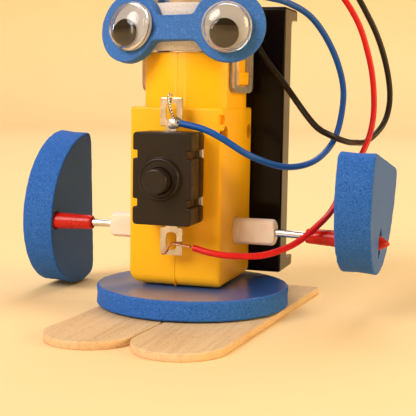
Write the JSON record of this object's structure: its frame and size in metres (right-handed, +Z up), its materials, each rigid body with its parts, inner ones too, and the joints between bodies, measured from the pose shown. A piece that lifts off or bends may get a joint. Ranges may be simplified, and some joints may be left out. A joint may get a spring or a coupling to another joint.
{
  "type": "walking craft robot",
  "caption": "Small craft robot: an upright gear motor on craft sticks with off-centre foam paddles on its axle, a battery holder behind, a push-button switch and googly eyes.",
  "frame": {"origin": "on the floor under the middle of the gearbox, on the underside of the left craft stick", "axes": "+Z up, the switch and the eyes face -Y, and +X is along the output shaft to the robot's wired side"},
  "size_m": [0.0806, 0.0773, 0.0761],
  "materials": {
    "cell_wrap": "satin",
    "black_plastic": "satin",
    "spring_steel": "satin",
    "nylon": "satin",
    "steel": "gloss",
    "birch": "matte",
    "white_plastic": "satin",
    "clear_plastic": "gloss",
    "blue_foam": "matte",
    "foam_tape": "matte",
    "yellow_plastic": "satin",
    "copper": "satin",
    "ferrite": "matte",
    "brass": "satin",
    "pupil_black": "gloss",
    "red_sleeve": "gloss",
    "tinned_metal": "satin",
    "black_pvc": "satin",
    "blue_pvc": "satin",
    "red_pvc": "satin"
  },
  "bodies": {
    "chassis": {"battery_cell_left": "cell_wrap", "battery_cell_right": "cell_wrap", "battery_holder": "black_plastic", "battery_link_plate": "spring_steel", "battery_plate_left": "spring_steel", "battery_plate_right": "spring_steel", "battery_spring_left": "spring_steel", "battery_spring_right": "spring_steel", "compound_pin": "steel", "craft_stick_left": "birch", "craft_stick_right": "birch", "crown_pin": "steel", "eye_back_left": "white_plastic", "eye_back_right": "white_plastic", "eye_dome_left": "clear_plastic", "eye_dome_right": "clear_plastic", "foam_base": "blue_foam", "glasses_foam": "blue_foam", "head_tape": "foam_tape", "holder_tape": "foam_tape", "housing_left": "yellow_plastic", "housing_right": "yellow_plastic", "housing_screw_1": "steel", "housing_screw_2": "steel", "motor_can": "steel", "motor_end_cap": "nylon", "motor_magnet_front": "ferrite", "motor_magnet_rear": "ferrite", "motor_strap": "clear_plastic", "motor_terminal_front": "brass", "motor_terminal_rear": "brass", "strands_bottom": "copper", "strands_top": "tinned_metal", "switch_base": "black_plastic", "switch_cover": "black_plastic", "switch_lug_bottom": "tinned_metal", "switch_lug_top": "tinned_metal", "switch_spring": "spring_steel", "switch_tape": "foam_tape", "wire_black": "black_pvc", "wire_blue": "blue_pvc", "wire_red": "red_pvc"},
    "axle": {"output_shaft": "nylon", "output_gear": "nylon", "rod_left": "steel", "rod_right": "steel", "sleeve_left": "red_sleeve", "sleeve_right": "red_sleeve", "paddle_left": "blue_foam", "paddle_right": "blue_foam"},
    "compound": {"compound_gear": "nylon"},
    "crown": {"crown_gear": "nylon"},
    "rotor": {"motor_shaft": "steel", "motor_armature": "copper", "motor_pinion": "nylon"},
    "button": {"switch_button": "black_plastic"},
    "pupil_left_disc": {"pupil_left": "pupil_black"},
    "pupil_right_disc": {"pupil_right": "pupil_black"}
  },
  "joints": [
    {"name": "axle_spin", "type": "hinge", "parent": "chassis", "child": "axle", "pos_m": [0, 0, 0.01655], "axis": [1, 0, 0], "continuous": true},
    {"name": "compound_spin", "type": "hinge", "parent": "chassis", "child": "compound", "pos_m": [0, 0.002, 0.02716], "axis": [1, 0, 0], "continuous": true},
    {"name": "crown_spin", "type": "hinge", "parent": "chassis", "child": "crown", "pos_m": [0, 0, 0.03594], "axis": [1, 0, 0], "continuous": true},
    {"name": "rotor_spin", "type": "hinge", "parent": "chassis", "child": "rotor", "pos_m": [0.0005, 0, 0.045], "axis": [0, 0, 1], "continuous": true},
    {"name": "button_press", "type": "slide", "parent": "chassis", "child": "button", "axis": [0, 1, 0], "range_m": [0, 0.0018], "stiffness_N_per_m": 600, "springref_m": -0.0008, "deforming": ["switch_spring"]},
    {"name": "pupil_left_swing", "type": "hinge", "parent": "chassis", "child": "pupil_left_disc", "pos_m": [-0.00877, -0.01195, 0.05735], "axis": [-0.3368, -0.9254, 0.1736], "continuous": true},
    {"name": "pupil_right_swing", "type": "hinge", "parent": "chassis", "child": "pupil_right_disc", "pos_m": [0.01041, -0.01281, 0.0573], "axis": [0.2756, -0.9613, 0], "continuous": true}
  ],
  "couplings": [
    {"joint": "compound_spin", "follows": "axle_spin", "ratio": -4},
    {"joint": "crown_spin", "follows": "axle_spin", "ratio": 16},
    {"joint": "rotor_spin", "follows": "axle_spin", "ratio": -48}
  ]
}
